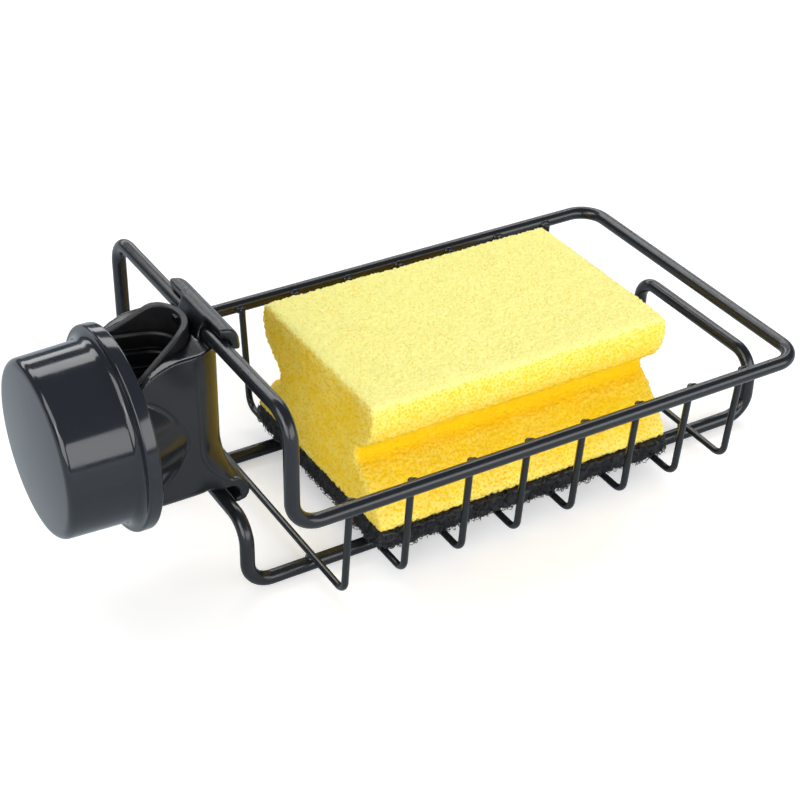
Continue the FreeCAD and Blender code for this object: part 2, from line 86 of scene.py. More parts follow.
class Body(Enum):
    """The bodies that pieces ride on."""

    HOLDER = "holder"
    PRESSER = "presser"
    KNOB = "screw_knob"
    SPONGE = "sponge"


class Slot(Enum):
    """The record's material slots."""

    WIRE = "coated_wire"
    CLAMP = "clamp_plastic"
    KNOB = "knob_plastic"
    RUBBER = "liner_rubber"
    FOAM = "sponge_foam"
    FIBRE = "scouring_fibre"


class NodeBench:
    """Adds nodes to one tree and links them."""

    def __init__(self, tree: bpy.types.NodeTree) -> None:
        """Takes the tree to work on."""
        self.tree = tree

    def give(self, socket: Socket, value: Any) -> None:
        """Links another socket to an input, or sets the input's value.

        Args:
            socket: The input.
            value: The socket to link to it, or its value.
        """
        if isinstance(value, Socket):
            self.tree.links.new(value, socket)
        else:
            socket.default_value = value

    def feed(self, node: bpy.types.Node, name: str, value: Any) -> None:
        """Gives a value or a socket to a node's enabled input of that name."""
        self.give(next(entry for entry in node.inputs if entry.name == name and entry.enabled), value)

    def add(self, kind: str, inputs: dict[str, Any] | None = None, **settings: Any) -> bpy.types.Node:
        """Adds one node.

        Args:
            kind: The node's type name.
            inputs: Values or sockets for its inputs, by input name.
            settings: Values for the node's own properties.

        Returns:
            The new node.
        """
        node = self.tree.nodes.new(kind)
        for name, value in settings.items():
            setattr(node, name, value)
        for name, value in (inputs or {}).items():
            self.feed(node, name, value)
        return node

    def out(self, kind: str, inputs: dict[str, Any] | None = None, **settings: Any) -> Socket:
        """Adds one node as add does, and returns its first enabled output."""
        node = self.add(kind, inputs, **settings)
        return next(socket for socket in node.outputs if socket.enabled)

    def math(self, operation: str, *values: Any) -> Socket:
        """Adds one sum.

        Args:
            operation: The sum's type name.
            values: Its numbers or sockets, in order.

        Returns:
            The result.
        """
        node = self.add("ShaderNodeMath", operation=operation)
        for socket, value in zip(node.inputs, values):
            self.give(socket, value)
        return node.outputs[0]

    def ramp(self, value: Socket, span: Pair, result: Pair = (0.0, 1.0)) -> Socket:
        """Maps a value smoothly from one span onto another."""
        ends = dict(zip(("From Min", "From Max", "To Min", "To Max"), (*span, *result)))
        return self.out("ShaderNodeMapRange", {"Value": value, **ends}, interpolation_type="SMOOTHSTEP")

    def blend(self, share: Socket, first: Any, second: Any) -> Socket:
        """A colour between two colours or sockets."""
        start, end = ((*tone, 1.0) if isinstance(tone, tuple) else tone for tone in (first, second))
        return self.out("ShaderNodeMix", {"Factor": share, "A": start, "B": end}, data_type="RGBA")


class Shader(NodeBench):
    """A material on Object coordinates with one principled shader."""

    def __init__(self, name: str) -> None:
        """Makes the empty material."""
        self.material = bpy.data.materials.new(name)
        self.material.use_nodes = True
        super().__init__(self.material.node_tree)
        self.shader = self.tree.nodes["Principled BSDF"]

    @cached_property
    def place(self) -> Socket:
        """The Object coordinates."""
        return self.add("ShaderNodeTexCoord").outputs["Object"]

    def set(self, **values: Any) -> None:
        """Sets the shader's sockets, with spaces in their names written as underscores."""
        for name, value in values.items():
            self.feed(self.shader, name.replace("_", " "), value)

    def noise(self, size: float, detail: float = 2.0, roughness: float = 0.5) -> Socket:
        """A noise whose grains are about that many metres across."""
        inputs = {"Vector": self.place, "Scale": 1.0 / size, "Detail": detail, "Roughness": roughness}
        return self.out("ShaderNodeTexNoise", inputs)

    def cells(self, size: float) -> Socket:
        """The distance to the nearest of points that lie about that many metres apart."""
        return self.out("ShaderNodeTexVoronoi", {"Vector": self.place, "Scale": 1.0 / size})

    def emboss(self, height: Socket, depth: float, strength: Any) -> None:
        """Lets the surface look raised by a height."""
        inputs = {"Height": height, "Distance": depth, "Strength": strength}
        self.set(Normal=self.out("ShaderNodeBump", inputs))


@dataclass(frozen=True)
class CoatedSteel:
    """Satin black dip coating on steel wire, with a faint orange peel."""

    dark: Colour = (0.007, 0.008, 0.010)
    light: Colour = (0.011, 0.013, 0.016)
    roughness: Pair = (0.20, 0.27)
    cloud: float = 9.0 * MM
    peel: float = 1.8 * MM

    def material(self) -> Finish:
        """The finished material."""
        made = Shader("coated_steel")
        made.set(
            Base_Color=made.blend(made.noise(self.cloud, detail=4.0), self.dark, self.light),
            Roughness=made.ramp(made.noise(self.peel, detail=3.0), NOISE_SPAN, self.roughness),
        )
        return made.material


@dataclass(frozen=True)
class SatinPlastic:
    """Moulded satin plastic, grained above a height where the hook is, and turned darker there with painted
    shade.
    """

    dark: Colour = (0.009, 0.010, 0.012)
    light: Colour = (0.014, 0.015, 0.018)
    roughness: Pair = (0.16, 0.21)
    flow: float = 14.0 * MM
    grain: float = 0.55 * MM
    grain_walls: Pair = (0.05, 0.6)
    grain_depth: float = 0.06 * MM
    grain_strength: float = 0.5
    grain_dulls: float = 0.10
    grain_from: float = 24.8 * MM
    grain_fade: float = 0.5 * MM
    # Painted shade: from the height below, the plastic turns to this darker colour up to the hook, where the
    # stem lies in shade.
    hook: Colour = (0.004, 0.0045, 0.0055)
    hook_from: float = 20.5 * MM

    def material(self) -> Finish:
        """The finished material."""
        made = Shader("satin_plastic")
        height = made.add("ShaderNodeSeparateXYZ", {"Vector": made.place}).outputs["Z"]
        grained = made.ramp(height, (self.grain_from - self.grain_fade, self.grain_from))
        # How much painted shade the hook's stem gets, rising with height.
        hook_shade = made.ramp(height, (self.hook_from, self.grain_from))
        flow = made.noise(self.flow, detail=3.0)
        smooth = made.ramp(flow, NOISE_SPAN, self.roughness)
        made.set(
            Base_Color=made.blend(hook_shade, made.blend(flow, self.dark, self.light), self.hook),
            Roughness=made.math("ADD", smooth, made.math("MULTIPLY", grained, self.grain_dulls)),
        )
        cells = made.ramp(made.cells(self.grain), self.grain_walls)
        made.emboss(cells, self.grain_depth, made.math("MULTIPLY", grained, self.grain_strength))
        return made.material


@dataclass(frozen=True)
class GlossPlastic:
    """Glossy moulded plastic with faint handling marks."""

    dark: Colour = (0.011, 0.013, 0.017)
    light: Colour = (0.015, 0.018, 0.023)
    roughness: Pair = (0.10, 0.17)
    cloud: float = 18.0 * MM
    smear: float = 6.0 * MM
    smear_span: Pair = (0.35, 0.8)

    def material(self) -> Finish:
        """The finished material."""
        made = Shader("gloss_plastic")
        smear = made.noise(self.smear, detail=5.0, roughness=0.65)
        made.set(
            Base_Color=made.blend(made.noise(self.cloud, detail=3.0), self.dark, self.light),
            Roughness=made.ramp(smear, self.smear_span, self.roughness),
        )
        return made.material


@dataclass(frozen=True)
class SoftRubber:
    """Soft black rubber with a bloom."""

    dark: Colour = (0.005, 0.005, 0.006)
    light: Colour = (0.011, 0.011, 0.012)
    roughness: Pair = (0.32, 0.46)
    bloom: float = 5.0 * MM
    skin: float = 0.5 * MM
    skin_depth: float = 0.02 * MM
    skin_strength: float = 0.35

    def material(self) -> Finish:
        """The finished material."""
        made = Shader("soft_rubber")
        bloom = made.noise(self.bloom, detail=4.0)
        made.set(
            Base_Color=made.blend(bloom, self.dark, self.light),
            Roughness=made.ramp(bloom, NOISE_SPAN, self.roughness),
            Specular_IOR_Level=0.33,
        )
        made.emboss(made.noise(self.skin), self.skin_depth, self.skin_strength)
        return made.material


@dataclass(frozen=True)
class OpenFoam:
    """Open-pored yellow foam with painted light and shade: paler on its cut top as if lit, deeper in its
    grooves and at its ends as if shaded.
    """

    # The first colour is the foam in painted shade, the second the same foam in painted light, the third the
    # painted shade in its pores.
    painted_shade_yellow: Colour = (0.93, 0.60, 0.008)
    pale: Colour = (0.96, 0.90, 0.31)
    pit: Colour = (0.86, 0.50, 0.006)
    pit_shade_span: Pair = (0.0, 0.6)
    pit_shade_share: Pair = (0.35, 0.0)
    raised_span: Pair = (0.2, 0.8)
    raised_share: Pair = (1.0, 0.5)
    cell: float = 0.85 * MM
    cell_walls: Pair = (0.12, 0.62)
    cell_depth: float = 0.22 * MM
    cell_strength: float = 0.5
    pore_shading_strength: float = 0.5
    cloud: float = 16.0 * MM
    cloud_tint: Pair = (-0.10, 0.10)

    def material(self) -> Finish:
        """The finished material."""
        made = Shader("open_foam")
        # The point attribute read here holds painted light and shade: 1 where the foam is painted as lit, 0
        # or less where painted as shaded.
        pale = made.add("ShaderNodeAttribute", attribute_name="pale").outputs["Fac"]
        raised = made.add("ShaderNodeAttribute", attribute_name="raised").outputs["Fac"]
        cloud = made.ramp(made.noise(self.cloud, detail=3.0), NOISE_SPAN, self.cloud_tint)
        walls = made.ramp(made.cells(self.cell), self.cell_walls)
        # Painted light on the cell walls and painted shade in the hollows between them.
        pore_shading = made.math("MULTIPLY", made.math("SUBTRACT", walls, MIDDLE), self.pore_shading_strength)
        share = made.math("ADD", made.math("ADD", pale, cloud), pore_shading)
        depth = made.ramp(raised, self.raised_span, self.raised_share)
        # Painted shade in the pits, strongest where the pores sink deepest.
        pit_shade = made.math("MULTIPLY", made.ramp(walls, self.pit_shade_span, self.pit_shade_share), depth)
        made.set(
            Base_Color=made.blend(pit_shade, made.blend(share, self.painted_shade_yellow, self.pale), self.pit),
            Roughness=0.95,
            Specular_IOR_Level=0.15,
            Subsurface_Weight=0.2,
            Subsurface_Radius=(1.0, 0.7, 0.2),
            Subsurface_Scale=1.2 * MM,
        )
        made.emboss(walls, self.cell_depth, self.cell_strength)
        return made.material


@dataclass(frozen=True)
class ScouringFibre:
    """Coarse bonded black fibre with a slight shine."""

    dark: Colour = (0.004, 0.004, 0.005)
    light: Colour = (0.024, 0.025, 0.031)
    roughness: Pair = (0.30, 0.55)
    tuft: float = 1.1 * MM
    hair: float = 0.3 * MM
    hair_depth: float = 0.1 * MM
    hair_strength: float = 0.5

    def material(self) -> Finish:
        """The finished material."""
        made = Shader("scouring_fibre")
        tuft = made.noise(self.tuft, detail=4.0, roughness=0.7)
        made.set(
            Base_Color=made.blend(tuft, self.dark, self.light),
            Roughness=made.ramp(tuft, NOISE_SPAN, self.roughness),
        )
        made.emboss(made.noise(self.hair, detail=3.0), self.hair_depth, self.hair_strength)
        return made.material


class NodeForm(NodeBench):
    """A Geometry Nodes tree with named inputs that turns a seed mesh into a finished one."""

    SOCKETS = {float: "NodeSocketFloat", int: "NodeSocketInt", tuple: "NodeSocketVector"}

    def __init__(self, name: str, inputs: dict[str, type]) -> None:
        """Makes the tree's ends.

        Args:
            name: The tree's name.
            inputs: The kinds of its inputs by name, each float, int or tuple.
        """
        super().__init__(bpy.data.node_groups.new(name, "GeometryNodeTree"))
        face = self.tree.interface
        face.new_socket("Geometry", in_out="INPUT", socket_type="NodeSocketGeometry")
        for label, kind in inputs.items():
            face.new_socket(label, in_out="INPUT", socket_type=self.SOCKETS[kind])
        face.new_socket("Material", in_out="INPUT", socket_type="NodeSocketMaterial")
        face.new_socket("Geometry", in_out="OUTPUT", socket_type="NodeSocketGeometry")
        self.given = self.add("NodeGroupInput").outputs

    def random(self, low: float, high: float) -> Socket:
        """A triple at each point, with each of its numbers drawn between two limits."""
        limits = {"Min": (low,) * 3, "Max": (high,) * 3, "Seed": self.given["Seed"]}
        return self.out("FunctionNodeRandomValue", limits, data_type="FLOAT_VECTOR")

    def tube(self, path: Socket, sides: Any, radius: Socket) -> Socket:
        """A round tube along a path, closed at its ends."""
        ring = self.out("GeometryNodeCurvePrimitiveCircle", {"Resolution": sides, "Radius": radius})
        return self.out("GeometryNodeCurveToMesh", {"Curve": path, "Profile Curve": ring, "Fill Caps": True})

    def swell(self, geometry: Socket, distance: Socket) -> Socket:
        """Moves a geometry's points along their normals.

        Args:
            geometry: The geometry.
            distance: How far each point moves.

        Returns:
            The moved geometry.
        """
        inputs = {"Vector": self.out("GeometryNodeInputNormal"), "Scale": distance}
        offset = self.out("ShaderNodeVectorMath", inputs, operation="SCALE")
        return self.out("GeometryNodeSetPosition", {"Geometry": geometry, "Offset": offset})

    def join(self, *geometries: Socket) -> Socket:
        """All the geometries as one."""
        node = self.add("GeometryNodeJoinGeometry")
        for geometry in geometries:
            self.feed(node, "Geometry", geometry)
        return node.outputs[0]

    def close(self, geometry: Socket) -> "NodeForm":
        """Ends the tree: instances are made real, shaded smooth and given their material.

        Args:
            geometry: What the tree has made.

        Returns:
            The form itself.
        """
        real = self.out("GeometryNodeRealizeInstances", {"Geometry": geometry})
        smooth = self.out("GeometryNodeSetShadeSmooth", {"Geometry": real})
        inputs = {"Geometry": smooth, "Material": self.given["Material"]}
        self.add("NodeGroupOutput", {"Geometry": self.out("GeometryNodeSetMaterial", inputs)})
        return self

    def apply(self, seed: Piece, name: str, **values: Any) -> Piece:
        """Runs the tree on a seed object.

        Args:
            seed: The object whose mesh goes in. It is removed.
            name: The finished piece's name.
            values: Input values, with spaces in their names written as underscores.

        Returns:
            The finished piece, a plain mesh.
        """
        modifier = seed.modifiers.new(self.tree.name, "NODES")
        modifier.node_group = self.tree
        wanted = {label.replace("_", " "): value for label, value in values.items()}
        for item in self.tree.interface.items_tree:
            if item.in_out == "INPUT" and item.name in wanted:
                modifier[item.identifier] = wanted[item.name]
        return plain_copy(seed, name)


def in_scene(name: str, data: bpy.types.ID) -> Piece:
    """A new object in the scene that shows a mesh, a camera or a light."""
    made = bpy.data.objects.new(name, data)
    bpy.context.scene.collection.objects.link(made)
    return made


def facing(place: Iterable[float], target: Iterable[float]) -> Matrix:
    """The place and turn of a camera or a light that looks at a target."""
    turn = (Vector(target) - Vector(place)).to_track_quat("-Z", "Y").to_matrix()
    return Matrix.Translation(Vector(place)) @ turn.to_4x4()


def mesh_from(name: str, points: Iterable, edges: Iterable = (), faces: Iterable = ()) -> Piece:
    """A new object from points, edges and faces."""
    mesh = bpy.data.meshes.new(name)
    mesh.from_pydata([tuple(point) for point in points], list(edges), list(faces))
    mesh.validate()
    return in_scene(name, mesh)


def plain_copy(source: Piece, name: str) -> Piece:
    """Turns an object with modifiers into a plain mesh object.

    Args:
        source: The object with modifiers. It is removed.
        name: The new object's name.

    Returns:
        The new object.
    """
    bpy.context.view_layer.update()
    graph = bpy.context.evaluated_depsgraph_get()
    mesh = bpy.data.meshes.new_from_object(source.evaluated_get(graph), depsgraph=graph)
    mesh.name = name
    bpy.data.objects.remove(source)
    return in_scene(name, mesh)


def shade_smooth(piece: Piece) -> None:
    """Shades every face of a piece smooth."""
    piece.data.polygons.foreach_set("use_smooth", [True] * len(piece.data.polygons))


def turn_outwards(piece: Piece) -> None:
    """Merges a mesh's doubles and points its faces outwards."""
    work = bmesh.new()
    work.from_mesh(piece.data)
    bmesh.ops.remove_doubles(work, verts=work.verts, dist=MERGE_REACH)
    bmesh.ops.recalc_face_normals(work, faces=work.faces)
    work.to_mesh(piece.data)
    work.free()


def take_in(piece: Piece, added: Piece) -> None:
    """Moves the mesh of one object into another.

    Args:
        piece: The object that gets the mesh.
        added: The object that gives it. It is removed.
    """
    work = bmesh.new()
    work.from_mesh(piece.data)
    work.from_mesh(added.data)
    work.to_mesh(piece.data)
    work.free()
    bpy.data.objects.remove(added)


def skin(name: str, rings: Any, closed: bool, looped: bool = True) -> Piece:
    """Skins rings of points into one closed mesh.

    Args:
        name: The new object's name.
        rings: Rings with the same number of points each, in order.
        closed: True where the last ring meets the first, and False where the ends are capped.
        looped: False where each ring is an open line.

    Returns:
        The new object.
    """
    size, count = len(rings[0]), len(rings)
    faces = []
    for ring in range(count if closed else count - 1):
        here, there = ring * size, (ring + 1) % count * size
        for corner in range(size if looped else size - 1):
            after = (corner + 1) % size
            faces.append((here + corner, here + after, there + after, there + corner))
    if not closed:
        faces += [tuple(range(size)), tuple(range((count - 1) * size, count * size))]
    piece = mesh_from(name, [point for ring in rings for point in ring], (), faces)
    turn_outwards(piece)
    return piece


def arc(centre: Pair, radius: float, span: Pair, steps: int) -> list[Pair]:
    """Points along an arc, with its span in degrees."""
    turns = np.radians(np.linspace(*span, steps + 1))
    return [(centre[0] + radius * math.cos(turn), centre[1] + radius * math.sin(turn)) for turn in turns]


def points_of(piece: Piece, what: str = "co") -> np.ndarray:
    """A mesh's points, or its normals at them, as rows of three numbers."""
    flat = np.zeros(len(piece.data.vertices) * 3)
    piece.data.vertices.foreach_get(what, flat)
    return flat.reshape(-1, 3)


def move_points(piece: Piece, points: np.ndarray) -> None:
    """Puts a mesh's points at new places."""
    piece.data.vertices.foreach_set("co", points.ravel())
    piece.data.update()


def mark(piece: Piece, name: str, values: np.ndarray) -> None:
    """Stores one number at each point of a mesh, under a name."""
    layer = piece.data.attributes.new(name, "FLOAT", "POINT")
    layer.data.foreach_set("value", values.astype(np.float32))


def part_way(values: np.ndarray, span: Pair) -> np.ndarray:
    """How far values lie from a span's start to its end, from 0 to 1."""
    return np.clip((values - span[0]) / (span[1] - span[0]), 0.0, 1.0)


def settle(piece: Piece, body: Body, slot: Slot, *nodes: str, finish: Finish | None = None) -> None:
    """Lets a finished piece ride on its body.

    Args:
        piece: The finished piece.
        body: The body that it moves with.
        slot: The record's slot for its finish; not used.
        nodes: The solids that it stands for.
        finish: Its material, where it has none yet.
    """
    if finish is not None:
        piece.data.materials.append(finish)
    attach(piece, body.value)
    if nodes:
        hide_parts(*nodes)
    log.info("%s: %d faces, rides on %s", piece.name, len(piece.data.polygons), body.value)


def ease(piece: Piece, rounds: int, group: str = "") -> None:
    """Adds a modifier that smooths a piece.

    Args:
        piece: The piece.
        rounds: How many times its points are smoothed.
        group: The group of points that it is kept to, if any.
    """
    modifier = piece.modifiers.new("ease", "SMOOTH")
    modifier.factor = EASE_STEP
    modifier.iterations = rounds
    modifier.vertex_group = group


def ease_where(piece: Piece, chosen: np.ndarray, rounds: int) -> Piece:
    """Eases some points of a piece.

    Args:
        piece: The piece. It is removed.
        chosen: True or False for each of its points.
        rounds: How many times the chosen points are smoothed.

    Returns:
        The new piece, with the same name.
    """
    name = piece.name
    group = piece.vertex_groups.new(name="eased")
    group.add(np.flatnonzero(chosen).tolist(), 1.0, "REPLACE")
    ease(piece, rounds, group.name)
    return plain_copy(piece, name)


def softened(node: str, name: str, voxel: float, rounds: int, added: Piece | None = None) -> Piece:
    """A copy of a moulded solid with its edges eased, as a mould leaves them.

    Args:
        node: The solid to copy.
        name: The copy's name.
        voxel: How fine the copy is, in metres.
        rounds: How many times its points are smoothed.
        added: A closed mesh that is fused to the copy, if any.

    Returns:
        The copy, a plain mesh.
    """
    copy = in_scene(name + "_work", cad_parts[node].data.copy())
    turn_outwards(copy)
    if added is not None:
        take_in(copy, added)
    form = in_scene(name + "_form", copy.data.copy())
    remesh = copy.modifiers.new("fine", "REMESH")
    remesh.mode = "VOXEL"
    remesh.voxel_size = voxel
    copy.modifiers.new("hug", "SHRINKWRAP").target = form
    ease(copy, rounds)
    made = plain_copy(copy, name)
    bpy.data.objects.remove(form)
    made.data.materials.clear()
    shade_smooth(made)
    return made


@dataclass(frozen=True)
class ScrewThread:
    """The coarse right-handed trapezoid thread shared by the arms and the knob, about the X axis."""

    pitch: float = 4.0 * MM
    depth: float = 0.95 * MM
    flank: Pair = (0.28, 0.64)

    def crest(self, points: np.ndarray) -> np.ndarray:
        """How far up the arms' thread points lie.

        Args:
            points: Rows of three numbers.

        Returns:
            A number for each row, 0 at the thread's root and 1 at its crest.
        """
        angle = np.arctan2(points[:, 2], points[:, 1])
        phase = points[:, 0] / self.pitch - angle / (2 * math.pi)
        return part_way(np.abs(phase % 1.0 - 0.5) * 2.0, self.flank)


@dataclass
class WireBasket:
    """The welded basket: two heavy loops and the thin U wires of the floor."""

    finish: Finish
    rim_bend: float = 8.0 * MM
    frame_bend: float = 7.0 * MM
    cross_bend: float = 4.0 * MM
    cross_lean: float = 3.0 * MM
    heavy_sides: int = 28
    thin_sides: int = 18
    bend_steps: int = 14
    rim_bead: Triple = (1.75 * MM, 0.95 * MM, 1.45 * MM)
    rail_bead: Triple = (1.55 * MM, 1.9 * MM, 0.75 * MM)
    rim_seed: int = 3
    rail_seed: int = 5
    bead_tilt: float = 0.15
    bead_grain: float = 1.3 * MM
    bead_roughness: float = 0.22 * MM

    def __post_init__(self) -> None:
        """Reads the wires' places from the frame."""
        self.rim_low, self.rim_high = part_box("upper_rim_wire")
        self.base_low, self.base_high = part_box("lower_frame_wire")
        names = sorted(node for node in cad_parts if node.startswith("cross_wire_"))
        self.cross_x = {node: sum(corner.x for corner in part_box(node)) / 2 for node in names}
        thin_low, thin_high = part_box(names[0])
        self.thin_r = (thin_high.x - thin_low.x) / 2
        self.cross_half = thin_high.y - self.thin_r
        self.cross_run_z = thin_low.z + self.thin_r
        self.cross_tip_z = thin_high.z - self.thin_r
        self.heavy_r = (self.cross_run_z - self.thin_r - self.base_low.z) / 2
        self.form = self.wire_form()
        self.bead_form = self.weld_form()

    def wire_form(self) -> NodeForm:
        """The tree that bends a path of straight runs into a round wire."""
        kinds = {"Wire Radius": float, "Bend Radius": float, "Bend Steps": int, "Sides": int}
        form = NodeForm("bent_wire", kinds)
        given = form.given
        radius, sides = given["Wire Radius"], given["Sides"]
        path = form.out("GeometryNodeMeshToCurve", {"Mesh": given["Geometry"]})
        bends = {"Curve": path, "Count": given["Bend Steps"], "Radius": given["Bend Radius"]}
        bent = form.out("GeometryNodeFilletCurve", bends, mode="POLY")
        ball = form.out("GeometryNodeMeshUVSphere", {"Segments": sides, "Rings": sides, "Radius": radius})
        ends = form.out("GeometryNodeCurveEndpointSelection")
        places = {"Points": bent, "Selection": ends, "Instance": ball}
        tips = form.out("GeometryNodeInstanceOnPoints", places)
        return form.close(form.join(tips, form.tube(bent, sides, radius)))

    def weld_form(self) -> NodeForm:
        """The tree that sets an uneven weld bead on each point."""
        kinds = {"Bead": tuple, "Unevenness": float, "Grain": float, "Seed": int}
        form = NodeForm("weld_beads", kinds)
        given = form.given
        ball = form.out("GeometryNodeMeshIcoSphere", {"Radius": 1.0, "Subdivisions": 4})
        places = {"Points": given["Geometry"], "Instance": ball, "Scale": given["Bead"]}
        places["Rotation"] = form.random(-self.bead_tilt, self.bead_tilt)
        beads = form.out("GeometryNodeInstanceOnPoints", places)
        real = form.out("GeometryNodeRealizeInstances", {"Geometry": beads})
        grain = form.out("ShaderNodeTexNoise", {"Scale": given["Grain"], "Detail": 1.0})
        rise = form.math("MULTIPLY", form.math("SUBTRACT", grain, MIDDLE), given["Unevenness"])
        return form.close(form.swell(real, rise))

    def wire(self, node: str, corners: list[Triple], radius: float, bend: float, closed: bool) -> None:
        """Makes one wire along its corners and lets it stand for its solid.

        Args:
            node: The solid that the wire stands for.
            corners: The points where its straight runs would meet.
            radius: Half the wire's thickness.
            bend: The radius of its bends, at the wire's middle.
            closed: True for a loop.
        """
        count = len(corners)
        edges = [(index, index + 1) for index in range(count - 1)]
        if closed:
            edges.append((count - 1, 0))
        piece = self.form.apply(
            mesh_from(node + "_path", corners, edges),
            node + "_coated",
            Wire_Radius=radius,
            Bend_Radius=bend,
            Bend_Steps=self.bend_steps,
            Sides=self.heavy_sides if closed else self.thin_sides,
            Material=self.finish,
        )
        settle(piece, Body.HOLDER, Slot.WIRE, node)

    def loops(self) -> None:
        """The heavy loops: the upper one raised at its left end, the lower one at both ends."""
        inset = Vector((self.heavy_r,) * 3)
        low, high = self.rim_low + inset, self.rim_high - inset
        corners = self.arch(low.x, low.y, high.y, low.z, high.z)
        corners += [(high.x, high.y, low.z), (high.x, low.y, low.z)]
        self.wire("upper_rim_wire", corners, self.heavy_r, self.rim_bend, True)
        low, high = self.base_low + inset, self.base_high - inset
        corners = self.arch(low.x, low.y, high.y, low.z, high.z)
        corners += self.arch(high.x, high.y, low.y, low.z, high.z)
        self.wire("lower_frame_wire", corners, self.heavy_r, self.frame_bend, True)

    @staticmethod
    def arch(x: float, near: float, far: float, foot: float, top: float) -> list[Triple]:
        """The four corners of a raised end."""
        return [(x, near, foot), (x, near, top), (x, far, top), (x, far, foot)]

    def cross_wires(self) -> None:
        """The thin U wires, one for each solid."""
        half, knee_z = self.cross_half, self.rim_low.z
        side = [(half, self.cross_tip_z), (half, knee_z), (half - self.cross_lean, self.cross_run_z)]
        for node, x in self.cross_x.items():
            corners = [(x, -y, z) for y, z in side] + [(x, y, z) for y, z in reversed(side)]
            self.wire(node, corners, self.thin_r, self.cross_bend, False)

    def welds(self) -> None:
        """The beads where the thin wires meet the two loops."""
        rail_y = self.base_high.y - self.heavy_r
        rail_z = self.cross_run_z - self.thin_r
        rim_y = self.cross_half + self.thin_r
        rim_z = self.rim_low.z + self.heavy_r
        rows = (
            ("rim_welds", rim_y, rim_z, self.rim_bead, self.rim_seed),
            ("rail_welds", rail_y, rail_z, self.rail_bead, self.rail_seed),
        )
        for name, y, z, bead, seed in rows:
            places = [(x, side * y, z) for x in self.cross_x.values() for side in (-1, 1)]
            piece = self.bead_form.apply(
                mesh_from(name + "_points", places),
                name,
                Bead=bead,
                Unevenness=self.bead_roughness,
                Grain=1.0 / self.bead_grain,
                Seed=seed,
                Material=self.finish,
            )
            settle(piece, Body.HOLDER, Slot.WIRE)

    def build(self) -> None:
        """Makes every wire and weld."""
        self.loops()
        self.cross_wires()
        self.welds()


